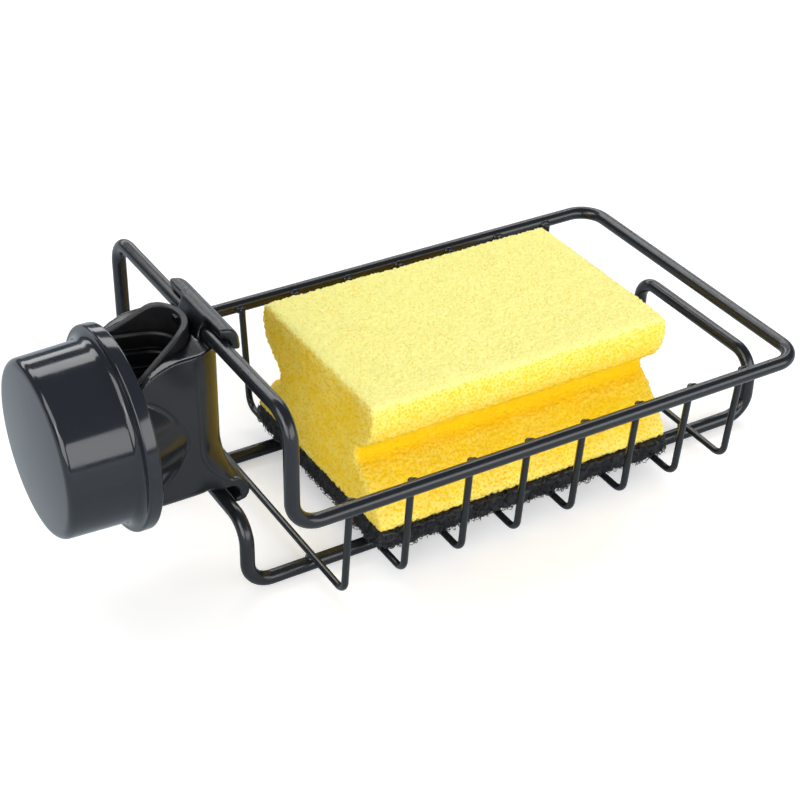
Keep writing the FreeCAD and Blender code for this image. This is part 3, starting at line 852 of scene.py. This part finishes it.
@dataclass
class ClampBody:
    """The moulded clamp with its threaded arms, and the rubber lining of its jaw."""

    plastic: Finish
    rubber: Finish
    thread: ScrewThread
    body_voxel: float = 0.36 * MM
    body_rounds: int = 5
    liner_voxel: float = 0.30 * MM
    liner_rounds: int = 3
    shoulder_x: float = -8.8 * MM
    thread_fade: float = 1.0 * MM
    arm_skin: float = 0.7 * MM
    side_rounds: int = 60
    side_gap: float = 0.6 * MM
    side_to_x: float = 6.0 * MM
    side_from_y: float = 10.5 * MM
    side_half_z: float = 15.0 * MM
    hook_rounds: int = 45
    hook_from: float = 24.6 * MM
    neck_r: float = 9.0 * MM
    groove: Pair = (19.8 * MM, 21.2 * MM)
    groove_depth: float = 0.5 * MM
    groove_facing: float = -0.6
    catch_place: Pair = (0.6 * MM, 26.8 * MM)
    catch_size: Pair = (2.2 * MM, 2.1 * MM)
    catch_frame: float = 0.5 * MM
    catch_rise: float = 0.9 * MM
    catch_foot: float = -0.1 * MM
    curl_axis: Pair = (17.3 * MM, -21.6 * MM)
    curl_r: Pair = (1.7 * MM, 3.25 * MM)
    curl_span: Pair = (45.0, -115.0)
    curl_half: float = 15.0 * MM
    curl_steps: int = 24

    def build(self) -> None:
        """Makes the body with its thread, the lining, and the lining's catch."""
        curl = self.hook_curl()
        body = softened("clamp_body", "clamp_body_moulded", self.body_voxel, self.body_rounds, curl)
        self.round_lip(body)
        body = self.ease_faces(body)
        self.cut_thread(body)
        settle(body, Body.HOLDER, Slot.CLAMP, "clamp_body", finish=self.plastic)
        liner = softened("jaw_liner", "jaw_liner_rubber", self.liner_voxel, self.liner_rounds)
        self.cut_groove(liner)
        settle(liner, Body.HOLDER, Slot.RUBBER, "jaw_liner", finish=self.rubber)
        self.catch()

    def hook_curl(self) -> Piece:
        """The rounded end that carries the lower hook's lip on round the bar."""
        half = self.curl_half
        inside, outside = (arc(self.curl_axis, r, self.curl_span, self.curl_steps) for r in self.curl_r)
        rings = []
        for (x, z), (far_x, far_z) in zip(inside, outside):
            rings.append([(x, -half, z), (far_x, -half, far_z), (far_x, half, far_z), (x, half, z)])
        return skin("hook_curl", rings, False)

    def round_lip(self, body: Piece) -> None:
        """Draws the corner of the lip's foot in to the curl's outside."""
        points = points_of(body)
        away = points[:, (0, 2)] - np.array(self.curl_axis)
        distance = np.maximum(np.linalg.norm(away, axis=1), MM)
        corner = (away[:, 0] > 0) & (away[:, 1] < 0) & (distance > self.curl_r[1])
        scale = np.where(corner, self.curl_r[1] / distance, 1.0)
        points[:, (0, 2)] = np.array(self.curl_axis) + away * scale[:, None]
        move_points(body, points)

    def ease_faces(self, body: Piece) -> Piece:
        """Eases the meeting of shoulder and sides, and the upper hook's edges.

        Args:
            body: The moulded body. It is removed.

        Returns:
            The eased body.
        """
        x, y, z = points_of(body).T
        side = (np.abs(y) > self.side_from_y) & (np.abs(z) < self.side_half_z)
        side &= (x > self.shoulder_x + self.side_gap) & (x < self.side_to_x)
        body = ease_where(body, side, self.side_rounds)
        return ease_where(body, points_of(body)[:, 2] > self.hook_from, self.hook_rounds)

    def cut_groove(self, liner: Piece) -> None:
        """Sinks one more groove into the lining's inner wall, above those of the solid."""
        points, normals = points_of(liner), points_of(liner, "normal")
        outward = np.column_stack([np.maximum(points[:, 0], 0.0), points[:, 1]])
        outward /= np.linalg.norm(outward, axis=1)[:, None]
        facing_in = (normals[:, :2] * outward).sum(axis=1) < self.groove_facing
        low, high = self.groove
        sunk = facing_in & (points[:, 2] > low) & (points[:, 2] < high)
        points[sunk] -= normals[sunk] * self.groove_depth
        move_points(liner, points)

    def catch(self) -> None:
        """The small square frame that shows where the lining is keyed to the body."""
        y, z = self.catch_place
        foot, top, width = self.catch_foot, self.catch_rise, self.catch_frame
        corners = ((-1, -1), (1, -1), (1, 1), (-1, 1))
        rings = []
        for rise, shrink in ((foot, 0.0), (top, 0.0), (top, width), (foot, width)):
            half_y, half_z = (side / 2 - shrink for side in self.catch_size)
            rings.append([(self.neck_r - rise, y + a * half_y, z + b * half_z) for a, b in corners])
        settle(skin("jaw_liner_catch", rings, True), Body.HOLDER, Slot.CLAMP, finish=self.plastic)

    def cut_thread(self, body: Piece) -> None:
        """Sinks the thread's groove into the round outsides of the arms."""
        points = points_of(body)
        radius = np.hypot(points[:, 1], points[:, 2])
        before_shoulder = points[:, 0] < self.shoulder_x - self.thread_fade / 2
        arm_r = radius[before_shoulder].max()
        outside = part_way(radius, (arm_r - self.arm_skin, arm_r - self.arm_skin / 2))
        fade = part_way(points[:, 0], (self.shoulder_x, self.shoulder_x - self.thread_fade))
        sink = self.thread.depth * (1.0 - self.thread.crest(points)) * outside * fade
        points[:, 1:] *= (1.0 - sink / np.maximum(radius, MM))[:, None]
        move_points(body, points)


@dataclass
class ScrewKnob:
    """The flanged cap nut, turned from one profile, with its inner thread."""

    plastic: Finish
    thread: ScrewThread
    steps: int = 176
    arc_steps: int = 8
    flange: float = 3.9 * MM
    flange_edge: float = 0.7 * MM
    flange_lip: float = 3.4 * MM
    root_fillet: float = 2.5 * MM
    taper: float = 0.5 * MM
    face_fillet: float = 2.2 * MM
    face_wall: float = 3.8 * MM
    face_dome: float = 0.8 * MM
    dome_steps: int = 14
    dome_reach: float = 0.97
    wall: float = 5.4 * MM
    lead_in: float = 0.8 * MM
    bore_step: float = 0.3 * MM
    thread_share: float = 0.9
    fade_steps: int = 6
    boss_r: float = 6.95 * MM
    boss_height: float = 7.25 * MM
    socket_r: float = 4.35 * MM
    mouth_r: float = 3.75 * MM
    mouth_depth: float = 3.1 * MM
    sharp_angle: float = 40.0

    def profile(self) -> tuple[list[Pair], range]:
        """The half section from the face's middle round to the socket's middle.

        Returns:
            The (x, radius) points, and the span of them that lies on the threaded bore.
        """
        low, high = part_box("knob")
        face, mouth, flange_r = low.x, high.x, high.y
        root_r = flange_r - self.flange_lip
        nose_r = root_r - self.taper
        bore_r = root_r - self.wall
        floor = face + self.face_wall
        back = mouth - self.flange
        edge = self.flange_edge
        flat = nose_r - self.face_fillet
        dome = self.face_dome
        slope = math.degrees(math.atan(2 * dome / flat))
        shares = np.linspace(0.0, self.dome_reach, self.dome_steps)
        points = [(face + dome * share ** 2, flat * share) for share in shares]
        for centre, radius, turn in (
            ((face + dome + self.face_fillet, flat), self.face_fillet, (180.0 - slope, 90.0)),
            ((back - self.root_fillet, root_r + self.root_fillet), self.root_fillet, (-90.0, 0.0)),
            ((back + edge, flange_r - edge), edge, (180.0, 90.0)),
            ((mouth - edge, flange_r - edge), edge, (90.0, 0.0)),
        ):
            points += arc(centre, radius, turn, self.arc_steps)
        points.append((mouth, bore_r + self.lead_in))
        start = len(points)
        count = int((mouth - self.lead_in - floor) / self.bore_step)
        points += [(x, bore_r) for x in np.linspace(mouth - self.lead_in, floor, count)]
        span = range(start + 1, len(points) - 1)
        boss_top = floor + self.boss_height
        points += [
            (floor, self.boss_r),
            (boss_top, self.boss_r),
            (boss_top, self.mouth_r),
            (boss_top - self.mouth_depth, self.mouth_r),
            (boss_top - self.mouth_depth, self.socket_r),
            (floor, self.socket_r),
            (floor, 0.0),
        ]
        return points, span

    def build(self) -> None:
        """Turns the profile about X and cuts the thread into the bore, with its inner corners sharp."""
        profile, bore = self.profile()
        along, radius = np.array(profile).T
        turns = np.linspace(0.0, 2 * math.pi, self.steps, endpoint=False)[:, None]
        lines = np.stack(np.broadcast_arrays(along, radius * np.cos(turns), radius * np.sin(turns)), axis=2)
        for index in bore:
            ring = lines[:, index]
            fade = min(1.0, min(index - bore.start, bore.stop - 1 - index) / self.fade_steps)
            inward = self.thread.depth * (1.0 - self.thread.crest(ring)) * fade * self.thread_share
            ring[:, 1:] *= (1.0 - inward / radius[index])[:, None]
        piece = skin("screw_knob_moulded", lines, True, looped=False)
        shade_smooth(piece)
        piece.data.set_sharp_from_angle(angle=math.radians(self.sharp_angle))
        settle(piece, Body.KNOB, Slot.KNOB, "knob", finish=self.plastic)


@dataclass
class Presser:
    """The block that the knob pushes onto the tap neck, and its rubber face."""

    plastic: Finish
    rubber: Finish
    voxel: float = 0.28 * MM
    ease_rounds: int = 4

    def build(self) -> None:
        """Makes the block and the pad."""
        for node, name, finish, slot in (
            ("pressure_block", "pressure_block_moulded", self.plastic, Slot.CLAMP),
            ("pressure_pad", "pressure_pad_rubber", self.rubber, Slot.RUBBER),
        ):
            piece = softened(node, name, self.voxel, self.ease_rounds)
            settle(piece, Body.PRESSER, slot, node, finish=finish)


@dataclass
class Sponge:
    """The grip-sided foam and the scouring layer under it."""

    foam_finish: Finish
    fibre_finish: Finish
    voxel: float = 0.56 * MM
    ease_rounds: int = 50
    edge_rounds: int = 250
    edge_reach: float = 2.6 * MM
    # Painted light and shade on the foam: added light at edges and ridges, shade in hollows and grooves, and
    # nearly full shade at the ends.
    edge_glow: float = 0.6
    hollow_shade: float = -0.3
    side_pale: float = 0.05
    ridge_pale: float = 0.10
    ridge_rise: Pair = (0.66, 0.96)
    groove_shade: float = 0.20
    groove_top: Pair = (0.74, 0.62)
    groove_foot: Pair = (0.10, 0.30)
    groove_inset: float = 0.85
    top_rise: float = 0.80
    top_facing: Pair = (0.375, 1.0)
    end_shade: float = 0.02
    end_facing: Pair = (1 / 3, 8 / 9)
    pore: float = 1.2 * MM
    pore_walls: Pair = (0.10, 0.55)
    pore_heights: Pair = (-1.0, 0.3)
    pore_depth: float = 0.15 * MM
    fuzz: float = 0.7 * MM
    fuzz_depth: float = 0.3 * MM
    wave: float = 24.0 * MM
    wave_depth: float = 0.8 * MM
    raised_scale: Pair = (0.25, 0.5)
    pad_voxel: float = 0.75 * MM
    pad_ease: int = 2
    lump: float = 1.4 * MM
    lump_depth: float = 0.65 * MM
    fibre_r: float = 0.11 * MM
    fibre_sides: int = 3
    fibre_points: int = 4
    fibre_bend: float = 1.1 * MM
    fibre_sweep: float = 2.3
    fibre_turn: float = 6.28
    fibre_density: float = 1.6 / MM ** 2
    cover_edge: Pair = (2.16 * MM, 0.36 * MM)
    cover_below: float = 0.12
    below_reach: float = 1.0 * MM
    seed: int = 11

    def pore_form(self) -> NodeForm:
        """The tree that opens pores in the foam, roughens it and lets its faces wander a little."""
        names = ("Pore", "Pore Depth", "Fuzz", "Fuzz Depth", "Wave", "Wave Depth")
        form = NodeForm("foam_pores", dict.fromkeys(names, float))
        given = form.given
        cells = form.out("ShaderNodeTexVoronoi", {"Scale": given["Pore"]})
        pit = form.ramp(cells, self.pore_walls, self.pore_heights)
        fuzz = form.out("ShaderNodeTexNoise", {"Scale": given["Fuzz"], "Detail": 2.0})
        hair = form.ramp(fuzz, NOISE_SPAN, BOTH_WAYS)
        wave = form.out("ShaderNodeTexNoise", {"Scale": given["Wave"], "Detail": 2.0})
        wander = form.math("MULTIPLY", form.math("SUBTRACT", wave, MIDDLE), given["Wave Depth"])
        sink = form.math("MULTIPLY", pit, given["Pore Depth"])
        rise = form.math("MULTIPLY", hair, given["Fuzz Depth"])
        relief = form.math("ADD", form.math("ADD", sink, rise), wander)
        raised = form.math("MULTIPLY_ADD", form.math("ADD", pit, hair), *self.raised_scale)
        kept = form.out(
            "GeometryNodeStoreNamedAttribute",
            {"Geometry": given["Geometry"], "Name": "raised", "Value": raised},
            data_type="FLOAT",
            domain="POINT",
        )
        return form.close(form.swell(kept, relief))

    def fibre_form(self) -> NodeForm:
        """The tree that roughens a slab and covers it with short bent fibres."""
        names = ("Lump", "Lump Depth", "Fibre Radius", "Fibre Bend", "Density")
        form = NodeForm("bonded_fibres", {**dict.fromkeys(names, float), "Seed": int})
        given = form.given
        lumps = form.out("ShaderNodeTexNoise", {"Scale": given["Lump"], "Detail": 3.0, "Roughness": 0.65})
        rise = form.math("MULTIPLY", form.ramp(lumps, NOISE_SPAN, BOTH_WAYS), given["Lump Depth"])
        slab = form.swell(given["Geometry"], rise)
        cover = form.out("GeometryNodeInputNamedAttribute", {"Name": "cover"}, data_type="FLOAT")
        density = form.math("MULTIPLY", cover, given["Density"])
        spread = {"Mesh": slab, "Density": density, "Seed": given["Seed"]}
        spots = form.out("GeometryNodeDistributePointsOnFaces", spread)
        bend = {"Resolution": self.fibre_points, "Radius": given["Fibre Bend"]}
        bow = form.out("GeometryNodeCurveArc", {**bend, "Sweep Angle": self.fibre_sweep})
        fibre = form.tube(bow, self.fibre_sides, given["Fibre Radius"])
        places = {"Points": spots, "Instance": fibre, "Rotation": form.random(0.0, self.fibre_turn)}
        fibres = form.out("GeometryNodeInstanceOnPoints", places)
        return form.close(form.join(slab, fibres))

    def foam(self) -> None:
        """The foam block, with its grip grooves, soft edges and pores."""
        block = softened("sponge_foam", "sponge_foam_block", self.voxel, self.ease_rounds)
        self.mark_painted_light(block)
        piece = self.pore_form().apply(
            block,
            "sponge_foam_cut",
            Pore=1.0 / self.pore,
            Pore_Depth=self.pore_depth,
            Fuzz=1.0 / self.fuzz,
            Fuzz_Depth=self.fuzz_depth,
            Wave=1.0 / self.wave,
            Wave_Depth=self.wave_depth,
            Material=self.foam_finish,
        )
        settle(piece, Body.SPONGE, Slot.FOAM, "sponge_foam")

    def bulge(self, piece: Piece, normals: np.ndarray) -> np.ndarray:
        """How far points stand out from a much smoother copy: most at edges, where painted light stands for
        the light that comes through.

        Args:
            piece: The foam block.
            normals: Its normals at its points.

        Returns:
            A number for each point, 1 at an edge and below 0 in a hollow.
        """
        ghost = in_scene(piece.name + "_ghost", piece.data.copy())
        smooth = ease_where(ghost, np.ones(len(ghost.data.vertices), bool), self.edge_rounds)
        away = ((points_of(piece) - points_of(smooth)) * normals).sum(axis=1)
        bpy.data.objects.remove(smooth)
        return np.clip(away / self.edge_reach, self.hollow_shade, 1.0)

    def mark_painted_light(self, piece: Piece) -> None:
        """Stores the foam's painted light and shade: most light on top and at edges, most shade in the
        grooves and at the ends.
        """
        low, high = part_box("sponge_foam")
        points, normals = points_of(piece), points_of(piece, "normal")
        along, _, up = np.abs(normals).T
        rise = (points[:, 2] - low.z) / (high.z - low.z)
        inset = part_way(np.abs(points[:, 1]), (high.y, self.groove_inset * high.y))
        groove = part_way(rise, self.groove_top) * part_way(rise, self.groove_foot) * inset
        ridge = part_way(rise, self.ridge_rise)
        # Painted shade along the grooves, painted light on the ridge and, below, on the upward-facing top.
        side = self.side_pale + self.ridge_pale * ridge - self.groove_shade * groove
        pale = side + (1.0 - side) * part_way(up, self.top_facing) * (rise > self.top_rise)
        pale += (self.end_shade - pale) * part_way(along, self.end_facing)
        mark(piece, "pale", pale + self.edge_glow * self.bulge(piece, normals))

    def mark_cover(self, slab: Piece) -> None:
        """Stores how thickly fibres cover the slab: fully along its edges, thinly below."""
        low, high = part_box("scouring_pad")
        points = points_of(slab)
        room = np.minimum(points - np.array(low), np.array(high) - points)
        edge = part_way(room[:, :2].min(axis=1), self.cover_edge)
        below = self.cover_below * (points[:, 2] < low.z + self.below_reach)
        mark(slab, "cover", np.maximum(edge, below))

    def scouring_pad(self) -> None:
        """The scouring layer: a lumpy slab under a tangle of fibres."""
        slab = softened("scouring_pad", "scouring_pad_slab", self.pad_voxel, self.pad_ease)
        self.mark_cover(slab)
        piece = self.fibre_form().apply(
            slab,
            "scouring_pad_fibres",
            Lump=1.0 / self.lump,
            Lump_Depth=self.lump_depth,
            Fibre_Radius=self.fibre_r,
            Fibre_Bend=self.fibre_bend,
            Density=self.fibre_density,
            Seed=self.seed,
            Material=self.fibre_finish,
        )
        settle(piece, Body.SPONGE, Slot.FIBRE, "scouring_pad")

    def build(self) -> None:
        """Makes both layers."""
        self.foam()
        self.scouring_pad()


@dataclass(frozen=True)
class Panel:
    """A soft rectangular light that faces the holder, where a radiance of 1 is white.

    Shiny surfaces mirror it if glossy is set, and it lights dull surfaces if diffuse is set.
    """

    name: str
    place: Triple
    size: Pair
    radiance: float
    glossy: bool = True
    diffuse: bool = True

    def build(self) -> None:
        """Makes the light."""
        data = bpy.data.lights.new(self.name, "AREA")
        data.shape = "RECTANGLE"
        data.size, data.size_y = self.size
        data.energy = self.radiance * math.pi * self.size[0] * self.size[1]
        lamp = in_scene(self.name, data)
        lamp.matrix_world = facing(self.place, (CAD_BOX[0] + CAD_BOX[1]) / 2)
        lamp.visible_camera = False
        lamp.visible_glossy = self.glossy
        lamp.visible_diffuse = self.diffuse


@dataclass
class Studio:
    """A plain pale floor, soft panels, a white background and the photograph's camera."""

    camera_place: Triple = (-150.57 * MM, -375.72 * MM, 272.12 * MM)
    camera_aim: Triple = (51.56 * MM, -40.66 * MM, 11.77 * MM)
    camera_roll: float = 1.04
    camera_near: float = 10.0 * MM
    focal_px: float = 1835.93
    sensor_mm: float = 36.0
    floor_half: float = 1.0
    floor_colour: Colour = (0.82, 0.82, 0.82)
    mirrored_floor: Colour = (0.61, 0.68, 0.74)
    floor_lift: float = 0.38
    sky: float = 0.30
    mirrored_sky: float = 0.18
    mirrored_tint: Colour = (0.85, 1.0, 1.18)
    panels: tuple[Panel, ...] = (
        Panel("front_panel", place=(0.45, -1.05, 0.36), size=(1.7, 0.62), radiance=3.6),
        Panel("left_panel", place=(-1.0, -0.80, 0.46), size=(1.0, 0.80), radiance=4.2),
        Panel("left_strip", place=(-1.20, -0.15, 1.00), size=(1.2, 0.85), radiance=4.0, diffuse=False),
        Panel("low_back_panel", place=(0.40, 1.30, 0.42), size=(2.4, 0.26), radiance=3.2),
        Panel("high_back_panel", place=(0.34, 0.94, 1.0), size=(2.2, 0.40), radiance=4.4),
        Panel("top_panel", place=(0.05, -0.15, 1.1), size=(1.3, 1.3), radiance=0.2, glossy=False),
    )

    def camera(self) -> None:
        """The camera that took the photograph."""
        data = bpy.data.cameras.new("photo_camera")
        data.sensor_width = self.sensor_mm
        data.lens = self.sensor_mm * self.focal_px / PHOTO_WIDTH_PX
        data.clip_start = self.camera_near
        made = in_scene("photo_camera", data)
        roll = Matrix.Rotation(math.radians(self.camera_roll), 4, "Z")
        made.matrix_world = facing(self.camera_place, self.camera_aim) @ roll
        bpy.context.scene.camera = made

    def floor(self) -> None:
        """The pale floor under the holder, lifted to white where no shadow falls."""
        z = CAD_BOX[0].z
        half = self.floor_half
        corners = [(-half, -half, z), (half, -half, z), (half, half, z), (-half, half, z)]
        plane = mesh_from("floor", corners, (), [(0, 1, 2, 3)])
        made = Shader("pale_floor")
        path = made.add("ShaderNodeLightPath").outputs
        made.set(
            Base_Color=made.blend(path["Is Glossy Ray"], self.floor_colour, self.mirrored_floor),
            Roughness=0.9,
            Specular_IOR_Level=0.0,
            Emission_Color=(*WHITE, 1.0),
            Emission_Strength=made.math("MULTIPLY", path["Is Camera Ray"], self.floor_lift),
        )
        plane.data.materials.append(made.material)

    def world(self) -> None:
        """A white background for the camera, an even light, and a dimmer room for mirrored rays."""
        world = bpy.data.worlds.new("white_room")
        bpy.context.scene.world = world
        world.use_nodes = True
        bench = NodeBench(world.node_tree)
        back = world.node_tree.nodes["Background"]
        path = bench.add("ShaderNodeLightPath").outputs
        through = bench.math("MAXIMUM", path["Is Camera Ray"], path["Is Transmission Ray"])
        seen = bench.math("MULTIPLY", through, 1.0 - self.sky)
        mirrored = bench.math("MULTIPLY", path["Is Glossy Ray"], self.mirrored_sky - self.sky)
        bench.feed(back, "Color", bench.blend(path["Is Glossy Ray"], WHITE, self.mirrored_tint))
        bench.feed(back, "Strength", bench.math("ADD", bench.math("ADD", seen, mirrored), self.sky))

    def build(self) -> None:
        """Sets up the whole studio."""
        bpy.context.scene.view_settings.view_transform = "Standard"
        self.camera()
        self.floor()
        self.world()
        for panel in self.panels:
            panel.build()


def main() -> None:
    """Builds every sub-assembly and the studio."""
    logging.basicConfig(level=logging.INFO, format="%(message)s")
    plastic = SatinPlastic().material()
    rubber = SoftRubber().material()
    thread = ScrewThread()
    WireBasket(CoatedSteel().material()).build()
    ClampBody(plastic, rubber, thread).build()
    ScrewKnob(GlossPlastic().material(), thread).build()
    Presser(plastic, rubber).build()
    Sponge(OpenFoam().material(), ScouringFibre().material()).build()
    Studio().build()


if __name__ == "__main__":
    main()
